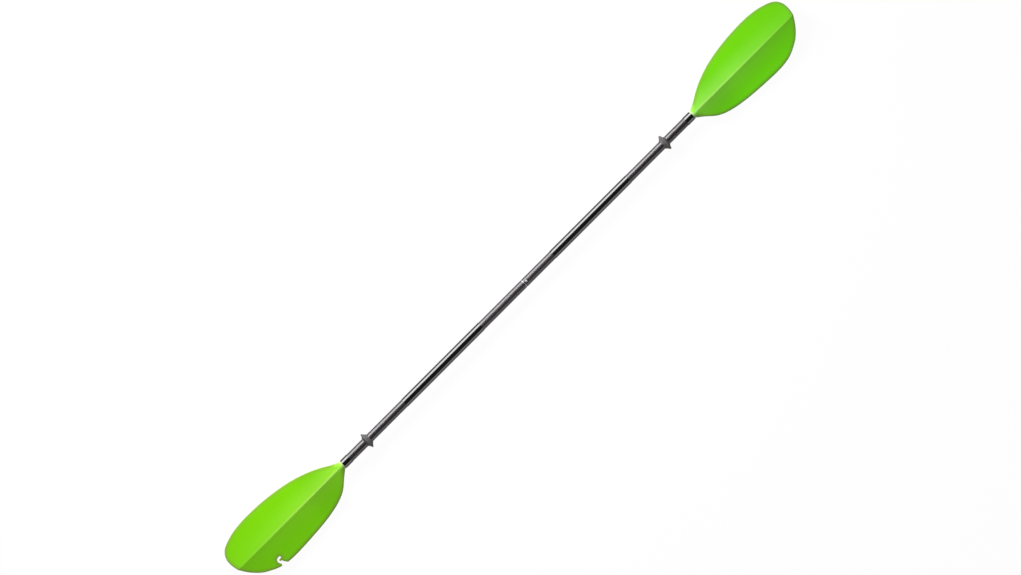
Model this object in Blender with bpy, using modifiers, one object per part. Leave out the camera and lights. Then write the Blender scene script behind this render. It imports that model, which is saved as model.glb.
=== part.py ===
# Two-piece kayak paddle with a snap-button joint, lying face up on the floor.
# Metres. X runs along the shaft with the hook blade at -X, +Z is up, and the origin is on
# the floor under the middle of the paddle.

import math

import bmesh
import bpy
from mathutils import Matrix, Vector

# Overall
PADDLE_LENGTH = 2.400
BLADE_LENGTH = 0.448  # from the end of the shaft to the tip
BLADE_WIDTH = 0.188

# Shaft: two fibreglass tubes
TUBE_OUTER = 0.0285
TUBE_WALL = 0.0016
JOINT_X = 0.0215  # where the halves meet, from the middle of the paddle
FIT = 0.0003  # clearance between neighbouring pieces

# Ferrule: glued into the male half, sliding in the female half
FERRULE_WALL = 0.0016
FERRULE_GLUED = 0.100
FERRULE_INSERTED = 0.095
FERRULE_COLLAR = 0.0020  # shoulder between the two tubes
BUNG_DEPTH = 0.014
BUNG_CAP = 0.0015

# Snap button and its spring clip
BUTTON_FROM_JOINT = 0.0092
BUTTON_RADIUS = 0.0039
BUTTON_PROUD = 0.0030  # above the tube
BUTTON_STEM_RADIUS = 0.0016
RIVET_HEAD = 0.0008
FEATHER_ANGLE = 60.0  # degrees between the holes of the female tube
CLIP_STRIP = 0.0006
CLIP_WIDTH = 0.008
CLIP_REACH = 0.042  # from the button to the bend
CLIP_TAIL = 0.0065  # past the button
CLIP_BEND_RADIUS = 0.0030

# Float plug inside the female tube
FLOAT_PLUG_START = 0.045  # past the end of the ferrule
FLOAT_PLUG_LENGTH = 0.040

# Heat-shrunk sleeves
SLEEVE_WALL = 0.0006
GRIP_SLEEVE_LENGTH = 0.328
MALE_GRIP_START = 0.1625  # from the middle of the paddle
FEMALE_GRIP_START = 0.1455
END_BAND_LENGTH = 0.027

# Drip rings: the lip is where the ring is widest
RING_RADIUS = 0.0275
RING_HUB_WALL = 0.0020
RING_LIP = 0.0016
RING_INNER_LENGTH = 0.0115  # from the lip towards the middle of the paddle
RING_OUTER_LENGTH = 0.0075
MALE_RING_FROM_BLADE = 0.1005  # from the end of the shaft to the lip
FEMALE_RING_FROM_BLADE = 0.1175

# Blade stem inside the tube, and the neck
STEM_LENGTH = 0.060
STEM_GROOVE = 0.0010
NECK_LENGTH = 0.006
COLLAR_WIDTH = 0.0034
COLLAR_GROOVE = 0.0005

# Blade shape
RIM_THICKNESS = 0.0027
CORE_THICKNESS = 0.0042  # along the ridge
RIDGE_FALL = 8.8  # degrees that each half falls away beside the ridge
RIM_FALL = 4.8  # and at the widest rim
SPOON_RISE = 0.016  # of the tip
SPOON_DIP = 0.005  # of the middle
NECK_BLEND = 0.024  # length over which the round neck turns into a sheet
FACE_SINK = 0.160  # length over which the face sinks from the top of the neck
SPINE_FADE = 0.290  # length of the spine on the back
SPINE_ROOT = 0.0110  # how wide the spine is at the neck
SPINE_END = 0.0060

# Line hook cut into the edge of one blade
HOOK_FROM_TIP = 0.1135
HOOK_INSET = 0.0196  # from the rim to the middle of the finger's round end
HOOK_FINGER_RADIUS = 0.0034
HOOK_SLOT_WIDTH = 0.0066
HOOK_SLOT_REACH = 0.0072  # of the slot's blind end, behind the finger's tip
HOOK_MOUTH = 0.0178  # across the rim

# Roundness
TUBE_SIDES = 40
RING_SIDES = 36

# The blade's outline from the neck, up its long side, round the tip and down its short side:
# share of the blade's length, share of its width.
OUTLINE = (
    (0.065, 0.137),
    (0.132, 0.229),
    (0.221, 0.325),
    (0.355, 0.424),
    (0.533, 0.491),
    (0.690, 0.510),
    (0.801, 0.498),
    (0.879, 0.460),
    (0.946, 0.396),
    (0.984, 0.315),
    (1.000, 0.194),
    (0.991, 0.024),
    (0.962, -0.115),
    (0.924, -0.230),
    (0.879, -0.327),
    (0.801, -0.431),
    (0.757, -0.467),
    (0.667, -0.489),
    (0.533, -0.480),
    (0.355, -0.448),
    (0.221, -0.390),
    (0.132, -0.306),
    (0.065, -0.177),
)
LONG_CORNER, SHORT_CORNER = 8, 14  # outline points where the sides end and the tip begins

TUBE_RADIUS = TUBE_OUTER / 2
TUBE_BORE = TUBE_RADIUS - TUBE_WALL
FERRULE_RADIUS = TUBE_BORE - FIT
FERRULE_BORE = FERRULE_RADIUS - FERRULE_WALL
AXIS_HEIGHT = RING_RADIUS * math.cos(math.pi / RING_SIDES)  # a flat of each ring lies on the floor
SHAFT_END = PADDLE_LENGTH / 2 - BLADE_LENGTH
BUTTON_X = JOINT_X + BUTTON_FROM_JOINT
HOLE_RADIUS = BUTTON_RADIUS + FIT
COLLAR_HALF = FERRULE_COLLAR / 2 + FIT  # from the joint to the end of each tube
FERRULE_END = JOINT_X + FERRULE_INSERTED

BLACK = (0.012, 0.012, 0.014)
DARK_GREY = (0.045, 0.042, 0.045)
GREEN = (0.20, 0.62, 0.010)
STEEL = (0.55, 0.54, 0.56)


def clear_scene():
    for obj in list(bpy.data.objects):
        bpy.data.objects.remove(obj, do_unlink=True)


def new_collection(name):
    made = bpy.data.collections.new(name)
    bpy.context.scene.collection.children.link(made)
    return made


def finish(obj, colour, roughness, metallic=0.0):
    """Gives the object its own material."""
    material = bpy.data.materials.new(obj.name)
    material.use_nodes = True
    shader = material.node_tree.nodes["Principled BSDF"]
    shader.inputs["Base Color"].default_value = (*colour, 1.0)
    shader.inputs["Roughness"].default_value = roughness
    shader.inputs["Metallic"].default_value = metallic
    obj.data.materials.append(material)


def add_object(name, mesh, collection, location=(0, 0, 0)):
    obj = bpy.data.objects.new(name, mesh)
    collection.objects.link(obj)
    obj.location = location
    return obj


def along_shaft(x, turn=0.0):
    """Where a turned piece's own Z axis lies along the shaft, with its start at x."""
    place = Matrix.Translation((x, 0, AXIS_HEIGHT))
    return place @ Matrix.Rotation(math.pi / 2, 4, "Y") @ Matrix.Rotation(turn, 4, "Z")


def turned(name, profile, sides, collection):
    """A piece turned about its own Z axis. The profile lists (radius, z) down the outer side
    and, for a ring, back up the bore."""
    mesh = bpy.data.meshes.new(name)
    points = [(radius, 0.0, z) for radius, z in profile]
    edges = [(i, i + 1) for i in range(len(points) - 1)]
    is_ring = min(radius for radius, _ in profile) > 0
    if is_ring:
        edges.append((len(points) - 1, 0))
    mesh.from_pydata(points, edges, [])
    obj = add_object(name, mesh, collection)
    screw = obj.modifiers.new("Turn", "SCREW")
    screw.steps = screw.render_steps = sides
    screw.use_merge_vertices = True
    screw.merge_threshold = 1e-6
    screw.use_smooth_shade = True
    return obj


def cut(obj, cutter):
    boolean = obj.modifiers.new("Cut " + cutter.name, "BOOLEAN")
    boolean.operation = "DIFFERENCE"
    boolean.solver = "EXACT"
    boolean.object = cutter


def hide_cutter(obj):
    obj.hide_render = True
    obj.display_type = "WIRE"


def radial_cutter(name, radius, angle, collection):
    """A round cutter through one wall of the tubes at the button, turned about the shaft."""
    bpy.ops.mesh.primitive_cylinder_add(vertices=32, radius=radius, depth=TUBE_RADIUS)
    obj = bpy.context.object
    obj.name = name
    for other in obj.users_collection:
        other.objects.unlink(obj)
    collection.objects.link(obj)
    place = Matrix.Translation((BUTTON_X, 0, AXIS_HEIGHT))
    outwards = Matrix.Translation((0, 0, TUBE_RADIUS))
    obj.matrix_world = place @ Matrix.Rotation(math.radians(angle), 4, "X") @ outwards
    hide_cutter(obj)
    return obj


def tube_profile(outer, bore, start, end, chamfer=0.0):
    return [
        (outer - chamfer, end),
        (outer, end - chamfer),
        (outer, start + chamfer),
        (outer - chamfer, start),
        (bore, start),
        (bore, end),
    ]


def build_tubes(parts, cutters):
    chamfer = TUBE_WALL / 4
    male = turned(
        "male_tube",
        tube_profile(TUBE_RADIUS, TUBE_BORE, -SHAFT_END + FIT, JOINT_X - COLLAR_HALF, chamfer),
        TUBE_SIDES,
        parts,
    )
    female = turned(
        "female_tube",
        tube_profile(TUBE_RADIUS, TUBE_BORE, JOINT_X + COLLAR_HALF, SHAFT_END - FIT, chamfer),
        TUBE_SIDES,
        parts,
    )
    for obj in (male, female):
        obj.matrix_world = along_shaft(0)
        finish(obj, DARK_GREY, 0.42)
    for angle in (-FEATHER_ANGLE, 0.0, FEATHER_ANGLE):
        name = f"feather_hole_{int(angle)}"
        cut(female, radial_cutter(name, HOLE_RADIUS, angle, cutters))


def build_ferrule(parts, cutters):
    start, end = JOINT_X - FERRULE_GLUED, FERRULE_END
    half = FERRULE_COLLAR / 2
    lead = FERRULE_WALL / 2  # chamfer that guides the ferrule into the tube
    profile = [
        (FERRULE_RADIUS - lead, end),
        (FERRULE_RADIUS, end - 2 * lead),
        (FERRULE_RADIUS, JOINT_X + half),
        (TUBE_RADIUS, JOINT_X + half),
        (TUBE_RADIUS, JOINT_X - half),
        (FERRULE_RADIUS, JOINT_X - half),
        (FERRULE_RADIUS, start),
        (FERRULE_BORE, start),
        (FERRULE_BORE, end),
    ]
    ferrule = turned("ferrule", profile, TUBE_SIDES, parts)
    ferrule.matrix_world = along_shaft(0)
    finish(ferrule, (0.55, 0.54, 0.55), 0.45)
    cut(ferrule, radial_cutter("ferrule_hole", HOLE_RADIUS, 0.0, cutters))

    bung_radius = FERRULE_BORE - FIT
    cap_radius = FERRULE_RADIUS - lead
    bung = turned(
        "ferrule_bung",
        [
            (0.0, FIT + BUNG_CAP),
            (cap_radius - BUNG_CAP / 2, FIT + BUNG_CAP),
            (cap_radius, FIT + BUNG_CAP / 2),
            (cap_radius, FIT),
            (bung_radius, FIT),
            (bung_radius, BUNG_CAP - BUNG_DEPTH),
            (bung_radius - BUNG_CAP, -BUNG_DEPTH),
            (0.0, -BUNG_DEPTH),
        ],
        TUBE_SIDES,
        parts,
    )
    bung.matrix_world = along_shaft(FERRULE_END)
    finish(bung, BLACK, 0.6)


def clip_height():
    """The clip's upper face above the shaft's axis, where its edges bear on the bore."""
    return math.sqrt(FERRULE_BORE**2 - (CLIP_WIDTH / 2) ** 2) - FIT


def build_button(parts):
    """A domed pin riveted to the clip. It stands on its own Z axis, which is its way in."""
    top = TUBE_RADIUS + BUTTON_PROUD
    shoulder = clip_height() + FIT
    under = clip_height() - CLIP_STRIP - FIT
    dome = [
        (
            BUTTON_RADIUS * math.sin(step * math.pi / 12),
            top - BUTTON_RADIUS * 0.6 * (1 - math.cos(step * math.pi / 12)),
        )
        for step in range(7)
    ]
    profile = dome + [
        (BUTTON_RADIUS, shoulder),
        (BUTTON_STEM_RADIUS, shoulder),
        (BUTTON_STEM_RADIUS, under),
        (BUTTON_STEM_RADIUS * 1.7, under),
        (BUTTON_STEM_RADIUS * 1.4, under - RIVET_HEAD),
        (0.0, under - RIVET_HEAD),
    ]
    button = turned("snap_button", profile, 24, parts)
    button.location = (BUTTON_X, 0, AXIS_HEIGHT)
    finish(button, STEEL, 0.25, 1.0)


def build_clip(parts, cutters):
    """The V-shaped leaf spring under the button: its line from the side, drawn out to the
    strip's width, then given its thickness."""
    level = clip_height() - CLIP_STRIP / 2
    bend_x = BUTTON_X - CLIP_REACH
    flat_x = BUTTON_X - CLIP_TAIL
    line = [
        (BUTTON_X + CLIP_TAIL, level - CLIP_STRIP),
        (BUTTON_X + CLIP_TAIL * 0.75, level),
        (flat_x, level),
    ]
    slope = math.atan2(level - CLIP_BEND_RADIUS, flat_x - bend_x)
    for step in range(9):
        angle = math.pi / 2 + slope + (math.pi - 2 * slope) * step / 8
        line.append(
            (
                bend_x + CLIP_BEND_RADIUS * math.cos(angle),
                CLIP_BEND_RADIUS * math.sin(angle),
            )
        )
    line += [(flat_x, -level), (BUTTON_X, -level)]

    bm = bmesh.new()
    rows = [
        [bm.verts.new((x, side * CLIP_WIDTH / 2, z)) for side in (-1, 1)] for x, z in line
    ]
    for first, second in zip(rows, rows[1:]):
        bm.faces.new((first[0], first[1], second[1], second[0]))
    mesh = bpy.data.meshes.new("snap_clip")
    bm.to_mesh(mesh)
    bm.free()
    clip = add_object("snap_clip", mesh, parts, (0, 0, AXIS_HEIGHT))
    solidify = clip.modifiers.new("Strip", "SOLIDIFY")
    solidify.thickness = CLIP_STRIP
    solidify.offset = 0.0
    finish(clip, STEEL, 0.35, 1.0)

    bpy.ops.mesh.primitive_cylinder_add(
        vertices=24, radius=BUTTON_STEM_RADIUS + FIT, depth=FERRULE_BORE
    )
    hole = bpy.context.object
    hole.name = "clip_hole"
    for other in hole.users_collection:
        other.objects.unlink(hole)
    cutters.objects.link(hole)
    hole.location = (BUTTON_X, 0, AXIS_HEIGHT + level)
    hide_cutter(hole)
    cut(clip, hole)


def build_float_plug(parts):
    radius = TUBE_BORE - FIT
    start = FERRULE_END + FLOAT_PLUG_START
    edge = radius / 8
    plug = turned(
        "float_plug",
        [
            (0.0, FLOAT_PLUG_LENGTH),
            (radius - edge, FLOAT_PLUG_LENGTH),
            (radius, FLOAT_PLUG_LENGTH - edge),
            (radius, edge),
            (radius - edge, 0.0),
            (0.0, 0.0),
        ],
        32,
        parts,
    )
    plug.matrix_world = along_shaft(start)
    finish(plug, (0.75, 0.74, 0.70), 0.9)


def build_sleeves(parts):
    """Glossy sleeves shrunk on to the shaft. A flat of each faces straight down."""
    inner = TUBE_RADIUS + FIT
    outer = inner + SLEEVE_WALL
    band_start = SHAFT_END - END_BAND_LENGTH
    spans = {
        "male_grip_sleeve": (-MALE_GRIP_START - GRIP_SLEEVE_LENGTH, GRIP_SLEEVE_LENGTH),
        "female_grip_sleeve": (FEMALE_GRIP_START, GRIP_SLEEVE_LENGTH),
        "hook_end_band": (-SHAFT_END + FIT, END_BAND_LENGTH - FIT),
        "plain_end_band": (band_start, END_BAND_LENGTH - FIT),
    }
    for name, (start, length) in spans.items():
        profile = tube_profile(outer, inner, 0.0, length, SLEEVE_WALL / 3)
        sleeve = turned(name, profile, TUBE_SIDES, parts)
        sleeve.matrix_world = along_shaft(start, math.pi / TUBE_SIDES)
        finish(sleeve, BLACK, 0.12)


def ring_profile():
    """Down the outer side from the blade end: hub, hollow under the lip, lip, and the long
    slope to the other end of the hub."""
    bore = TUBE_RADIUS + FIT
    hub = bore + RING_HUB_WALL
    rise = RING_RADIUS - hub
    half = RING_LIP / 2
    bevel = RING_HUB_WALL / 3
    points = [(hub - bevel, RING_OUTER_LENGTH), (hub, RING_OUTER_LENGTH - bevel)]
    hollow = RING_OUTER_LENGTH * 0.75 - half
    for share in (0.35, 0.65, 0.88):
        points.append((hub + rise * share**2.2, half + hollow * (1 - share)))
    points += [
        (RING_RADIUS - half / 2, half),
        (RING_RADIUS, half / 2),
        (RING_RADIUS, -half / 2),
    ]
    slope = RING_INNER_LENGTH * 0.85 - half
    for share in (1.0, 0.66, 0.33, 0.0):
        points.append((hub + rise * share**1.35 * 0.97, -half - slope * (1 - share)))
    points += [
        (hub - bevel, -RING_INNER_LENGTH),
        (bore, -RING_INNER_LENGTH),
        (bore, RING_OUTER_LENGTH),
    ]
    return points


def build_rings(parts):
    for name, x, turn in (
        ("male_drip_ring", MALE_RING_FROM_BLADE - SHAFT_END, math.pi),
        ("female_drip_ring", SHAFT_END - FEMALE_RING_FROM_BLADE, 0.0),
    ):
        ring = turned(name, ring_profile(), RING_SIDES, parts)
        facing = Matrix.Rotation(turn, 4, "X")
        ring.matrix_world = along_shaft(x, math.pi / RING_SIDES) @ facing
        finish(ring, (0.075, 0.075, 0.072), 0.75)


def smooth_step(value):
    value = min(max(value, 0.0), 1.0)
    return value * value * (3 - 2 * value)


def mix(first, second, share):
    return first + (second - first) * share


def spline(points, steps):
    """A Catmull-Rom curve through the points, with each stretch in the given steps."""
    before = points[0] * 2 - points[1]
    after = points[-1] * 2 - points[-2]
    padded = [before, *points, after]
    curve = []
    for i in range(1, len(points)):
        a, b, c, d = padded[i - 1 : i + 3]
        for step in range(steps):
            t = step / steps
            curve.append(
                b
                + (c - a) * (t / 2)
                + (a * 2 - b * 5 + c * 4 - d) * (t * t / 2)
                + (b * 3 - a - c * 3 + d) * (t * t * t / 2)
            )
    curve.append(points[-1])
    return curve


def blade_outline():
    """The two sides from the neck to their corners, and the tip from the short side's corner
    to the long side's, as fine polylines."""
    points = [Vector((x * BLADE_LENGTH, y * BLADE_WIDTH)) for x, y in OUTLINE]
    neck = [Vector((NECK_LENGTH, side * TUBE_RADIUS)) for side in (1, -1)]
    steps = 12
    curve = spline([neck[0], *points, neck[1]], steps)
    first, last = (LONG_CORNER + 1) * steps, (SHORT_CORNER + 1) * steps
    long_side = curve[: first + 1]
    short_side = curve[: last - 1 : -1]
    tip = curve[first : last + 1][::-1]
    return long_side, short_side, tip


def at_share(line, share):
    """The point at this share of a polyline's length."""
    lengths = [(b - a).length for a, b in zip(line, line[1:])]
    wanted = share * sum(lengths)
    for start, end, length in zip(line, line[1:], lengths):
        if wanted <= length:
            return start.lerp(end, wanted / length)
        wanted -= length
    return line[-1].copy()


def crossing(line, axis, value):
    """Where a polyline first passes a value of x (axis 0) or y (axis 1), as point and index."""
    for i, (a, b) in enumerate(zip(line, line[1:])):
        if (a[axis] - value) * (b[axis] - value) <= 0 and a[axis] != b[axis]:
            return a.lerp(b, (value - a[axis]) / (b[axis] - a[axis])), i
    return line[-1].copy(), len(line) - 2


def blade_height(x, y, across, to_tip):
    """Heights of the blade's face and back above the shaft's axis at one place. across runs
    from -1 to 1 between the rims, and to_tip from 0 to 1 between the neck and the tip."""
    along = x / BLADE_LENGTH
    spoon = SPOON_RISE * along**2 - SPOON_DIP * math.sin(math.pi * along)
    past_neck = x - NECK_LENGTH
    settle = smooth_step(past_neck / NECK_BLEND)
    inwards = 1 - abs(across)
    rim, core = RIM_THICKNESS / 2, CORE_THICKNESS / 2
    lift = (TUBE_RADIUS - core) * (1 - smooth_step(past_neck / FACE_SINK))
    steep, flat = math.tan(math.radians(RIDGE_FALL)), math.tan(math.radians(RIM_FALL))
    fall = steep * abs(y) - (steep - flat) * y**2 / BLADE_WIDTH
    sheet = settle * (spoon + lift - fall)
    round_rim = math.sqrt(max(0.0, 1 - abs(across) ** 40)) * math.sqrt(1 - to_tip**400)
    face = (rim + (core - rim) * inwards) * round_rim
    spine = (TUBE_RADIUS - core) * (1 - smooth_step(past_neck / SPINE_FADE)) + lift
    spread = mix(SPINE_ROOT, SPINE_END, min(past_neck / SPINE_FADE, 1.0))
    back = (rim + (core - rim) * inwards) * round_rim + spine * math.exp(-((y / spread) ** 2))
    neck = TUBE_RADIUS * math.sqrt(max(0.0, 1 - across**2))
    return sheet + mix(neck, face, settle), sheet - mix(neck, back * round_rim, settle)


def blade_stations():
    """Shares of the way from the neck to the tip: close together at the flare and the tip."""
    body = [0.95 * (step / 24) ** 1.45 for step in range(1, 25)]
    return body + [0.975, 0.989, 0.9965, 1.0]


def blade_loops():
    """The blade as closed loops from the inner end of the stem to the tip. Each loop starts
    at the long side's rim, crosses the face and returns across the back."""
    columns = (0.0, 0.06, 0.13, 0.22, 0.35, 0.5, 0.66, 0.8, 0.91, 0.975, 1.0)
    crossings = [*reversed(columns), *(-column for column in columns[1:])]
    stem = TUBE_BORE - FIT
    rounds = [(stem - STEM_GROOVE, -STEM_LENGTH), (stem, STEM_GROOVE - STEM_LENGTH)]
    for share in (2 / 3, 1 / 3):
        middle = -STEM_LENGTH * share
        rounds += [
            (stem, middle - STEM_GROOVE),
            (stem - STEM_GROOVE, middle),
            (stem, middle + STEM_GROOVE),
        ]
    groove = TUBE_RADIUS - COLLAR_GROOVE
    rounds += [
        (stem, 0.0),
        (groove, 0.0),
        (TUBE_RADIUS, COLLAR_GROOVE),
        (TUBE_RADIUS, COLLAR_WIDTH - COLLAR_GROOVE),
        (groove, COLLAR_WIDTH),
        (groove, COLLAR_WIDTH + COLLAR_GROOVE),
        (TUBE_RADIUS, COLLAR_WIDTH + 2 * COLLAR_GROOVE),
        (TUBE_RADIUS, NECK_LENGTH),
    ]
    loops = []
    for radius, x in rounds:
        heights = [radius * math.sqrt(1 - c * c) for c in crossings]
        face = [Vector((x, radius * c, z)) for c, z in zip(crossings, heights)]
        back = [Vector((x, p.y, -p.z)) for p in reversed(face[1:-1])]
        loops.append(face + back)

    long_side, short_side, tip = blade_outline()
    ridge_end, index = crossing(tip, 1, 0.0)
    halves = {1: (long_side, [ridge_end, *tip[index + 1 :]])}
    halves[-1] = (short_side, [ridge_end, *reversed(tip[: index + 1])])
    for to_tip in blade_stations():
        face, back = [], []
        ridge = Vector((mix(NECK_LENGTH, ridge_end.x, to_tip), 0.0))
        for across in crossings:
            side, end = halves[-1 if across < 0 else 1]
            out = abs(across)
            bulge = at_share(end, out) - ridge_end.lerp(side[-1], out)
            flat = ridge.lerp(at_share(side, to_tip), out) + bulge * to_tip**6
            high, low = blade_height(flat.x, flat.y, across, to_tip)
            face.append(Vector((flat.x, flat.y, high)))
            back.append(Vector((flat.x, flat.y, low)))
        loops.append(face + list(reversed(back[1:-1])))
    return loops


def build_blade(name, direction, parts):
    """Lofts the blade along its loops. direction is 1 for the +X end and -1 for the other."""
    bm = bmesh.new()
    rings = []
    for loop in blade_loops():
        rings.append([bm.verts.new((direction * p.x, p.y, p.z)) for p in loop])
    for first, second in zip(rings, rings[1:]):
        for i in range(len(first)):
            j = (i + 1) % len(first)
            bm.faces.new((first[i], first[j], second[j], second[i]))
    bm.faces.new(rings[0])
    bmesh.ops.remove_doubles(bm, verts=bm.verts, dist=1e-6)
    bmesh.ops.recalc_face_normals(bm, faces=bm.faces)
    mesh = bpy.data.meshes.new(name)
    bm.to_mesh(mesh)
    bm.free()
    mesh.shade_smooth()
    mesh.set_sharp_from_angle(angle=math.radians(40))
    blade = add_object(name, mesh, parts, (direction * SHAFT_END, 0, AXIS_HEIGHT))
    finish(blade, GREEN, 0.38)
    return blade


def arc(radius, start, end, steps):
    angles = (math.radians(mix(start, end, step / steps)) for step in range(steps + 1))
    return [(radius * math.cos(angle), radius * math.sin(angle)) for angle in angles]


def hook_outline():
    """The cut-out about the middle of the finger's round end: x towards the tip, y towards
    the ridge. It starts outside the rim on the shaft's side, goes round the finger and the
    blind end of the slot, and leaves along the pointed lip."""
    finger, outer = HOOK_FINGER_RADIUS, HOOK_FINGER_RADIUS + HOOK_SLOT_WIDTH
    corner = HOOK_SLOT_WIDTH / 5
    lip_x = HOOK_MOUTH / 2
    return [
        (-lip_x - 3 * corner, -HOOK_INSET * 1.1),
        (-lip_x - corner, -HOOK_INSET * 0.95),
        (-lip_x, -HOOK_INSET * 0.86),
        (-finger * 1.4, -HOOK_INSET * 0.52),
        *arc(finger, -120, 90, 10),
        (corner - HOOK_SLOT_REACH, finger),
        (-HOOK_SLOT_REACH, finger + corner),
        (-HOOK_SLOT_REACH, outer - corner),
        (corner - HOOK_SLOT_REACH, outer),
        *arc(outer, 90, -22, 10),
        (lip_x - 2 * corner, -HOOK_INSET * 0.50),
        (lip_x - 2 * corner, -HOOK_INSET * 0.64),
        (lip_x, -HOOK_INSET * 0.88),
        (lip_x + corner / 2, -HOOK_INSET * 1.1),
        (lip_x + corner / 2, -HOOK_INSET * 1.6),
        (-lip_x - 3 * corner, -HOOK_INSET * 1.6),
    ]


def hook_place():
    """The middle of the finger's round end, from the shaft's end."""
    x = BLADE_LENGTH - HOOK_FROM_TIP
    rim, _ = crossing(blade_outline()[1], 0, x)
    return Vector((x, rim.y + HOOK_INSET))


def cut_hook(blade, direction, cutters):
    curve = bpy.data.curves.new("hook_cut", "CURVE")
    curve.dimensions = "2D"
    curve.fill_mode = "BOTH"
    curve.extrude = AXIS_HEIGHT
    points = hook_outline()
    path = curve.splines.new("POLY")
    path.points.add(len(points) - 1)
    path.use_cyclic_u = True
    for point, (x, y) in zip(path.points, points):
        point.co = (direction * x, y, 0.0, 1.0)
    drawn = add_object("hook_cut_outline", curve, cutters)
    middle = hook_place()
    drawn.location = (direction * (SHAFT_END + middle.x), middle.y, AXIS_HEIGHT)
    bpy.context.view_layer.update()
    evaluated = drawn.evaluated_get(bpy.context.evaluated_depsgraph_get())
    mesh = bpy.data.meshes.new_from_object(evaluated)
    bm = bmesh.new()
    bm.from_mesh(mesh)
    bmesh.ops.remove_doubles(bm, verts=bm.verts, dist=1e-6)
    bmesh.ops.recalc_face_normals(bm, faces=bm.faces)
    bm.to_mesh(mesh)
    bm.free()
    cutter = add_object("hook_cut", mesh, cutters)
    cutter.matrix_world = drawn.matrix_world
    bpy.data.objects.remove(drawn, do_unlink=True)
    hide_cutter(cutter)
    cut(blade, cutter)


def main():
    clear_scene()
    parts = new_collection("kayak_paddle")
    cutters = new_collection("cutters")
    build_tubes(parts, cutters)
    build_ferrule(parts, cutters)
    build_button(parts)
    build_clip(parts, cutters)
    build_float_plug(parts)
    build_sleeves(parts)
    build_rings(parts)
    build_blade("plain_blade", 1, parts)
    hook_blade = build_blade("hook_blade", -1, parts)
    cut_hook(hook_blade, -1, cutters)


main()
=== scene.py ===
import math

import bpy
from mathutils import Matrix, Vector
from mathutils.kdtree import KDTree


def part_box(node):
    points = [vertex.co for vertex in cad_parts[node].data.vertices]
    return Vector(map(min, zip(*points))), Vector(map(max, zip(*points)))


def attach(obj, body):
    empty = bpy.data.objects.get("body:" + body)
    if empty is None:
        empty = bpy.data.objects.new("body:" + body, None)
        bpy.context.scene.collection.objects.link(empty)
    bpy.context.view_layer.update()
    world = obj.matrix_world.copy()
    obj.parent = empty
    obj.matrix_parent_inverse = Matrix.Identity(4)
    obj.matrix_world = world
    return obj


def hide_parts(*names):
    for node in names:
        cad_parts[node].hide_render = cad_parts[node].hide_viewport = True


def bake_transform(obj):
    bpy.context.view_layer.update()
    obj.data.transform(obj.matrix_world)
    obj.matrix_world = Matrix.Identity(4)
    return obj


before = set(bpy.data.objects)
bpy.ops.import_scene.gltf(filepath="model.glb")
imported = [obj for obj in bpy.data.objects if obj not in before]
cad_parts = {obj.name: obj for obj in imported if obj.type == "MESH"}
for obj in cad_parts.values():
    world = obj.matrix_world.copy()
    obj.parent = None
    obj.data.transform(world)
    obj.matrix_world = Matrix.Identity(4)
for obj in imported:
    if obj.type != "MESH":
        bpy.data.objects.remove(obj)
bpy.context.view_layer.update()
print("frame loaded:", len(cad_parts), "nodes")

tubeLow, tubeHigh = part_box("male_tube")
axisZ = (tubeLow.z + tubeHigh.z) / 2  # height of the shaft's axis
shaftRadius = 0.01425
buttonX = 0.0307
clearance = 0.0003  # between neighbouring pieces


# Camera: high above the shaft, tilted a little so that the hook blade is nearer
view = {"distance": 6.0, "tilt": 4.03, "roll": 45.016, "lens": 69.53, "aim": (-0.01635, -0.0205)}


def placeCamera():
    tilt, roll = math.radians(view["tilt"]), math.radians(view["roll"])
    along = Vector((math.cos(tilt), 0, math.sin(tilt)))
    across = Vector((0, -1, 0))
    ahead = Vector((math.sin(tilt), 0, -math.cos(tilt)))
    right = along * math.cos(roll) + across * math.sin(roll)
    up = along * math.sin(roll) - across * math.cos(roll)
    place = Vector((0, 0, axisZ)) - ahead * view["distance"]
    place += along * view["aim"][0] + across * view["aim"][1]
    turn = Matrix((right, up, -ahead)).transposed()
    bpy.ops.object.camera_add(location=place, rotation=turn.to_euler())
    camera = bpy.context.object
    camera.name = "camera"
    camera.data.lens = view["lens"]
    camera.data.sensor_width = 36
    camera.data.clip_end = 60
    bpy.context.scene.camera = camera


# Modelling
def linearColour(hexColour):
    channels = [int(hexColour[i : i + 2], 16) / 255 for i in (1, 3, 5)]
    return (*[c / 12.92 if c <= 0.04045 else ((c + 0.055) / 1.055) ** 2.4 for c in channels], 1.0)


def deselectAll():
    bpy.ops.object.select_all(action="DESELECT")


def activate(piece):
    deselectAll()
    piece.select_set(True)
    bpy.context.view_layer.objects.active = piece


def applyPlace():
    bpy.ops.object.transform_apply(location=True, rotation=True, scale=True)


def editMode(piece, choose="DESELECT", kind="VERT"):
    activate(piece)
    bpy.ops.object.mode_set(mode="EDIT")
    bpy.ops.mesh.select_mode(type=kind)
    bpy.ops.mesh.select_all(action=choose)


def objectMode():
    bpy.ops.object.mode_set(mode="OBJECT")


def extrudeBy(x, y, z):
    bpy.ops.mesh.extrude_region_move(TRANSFORM_OT_translate={"value": (x, y, z)})


def applyModifier(piece, kind, **settings):
    activate(piece)
    modifier = piece.modifiers.new(kind.title(), kind)
    for name, value in settings.items():
        setattr(modifier, name, value)
    bpy.ops.object.modifier_apply(modifier=modifier.name)


def cutAway(piece, cutter):
    applyModifier(piece, "BOOLEAN", object=cutter, operation="DIFFERENCE", solver="EXACT")
    bpy.data.objects.remove(cutter)


def selectEdges(piece, wanted):
    # in object mode, so that the next edit mode has only these edges
    for edge in piece.data.edges:
        a, b = (piece.data.vertices[i] for i in edge.vertices)
        edge.select = wanted(a, b)


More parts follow.
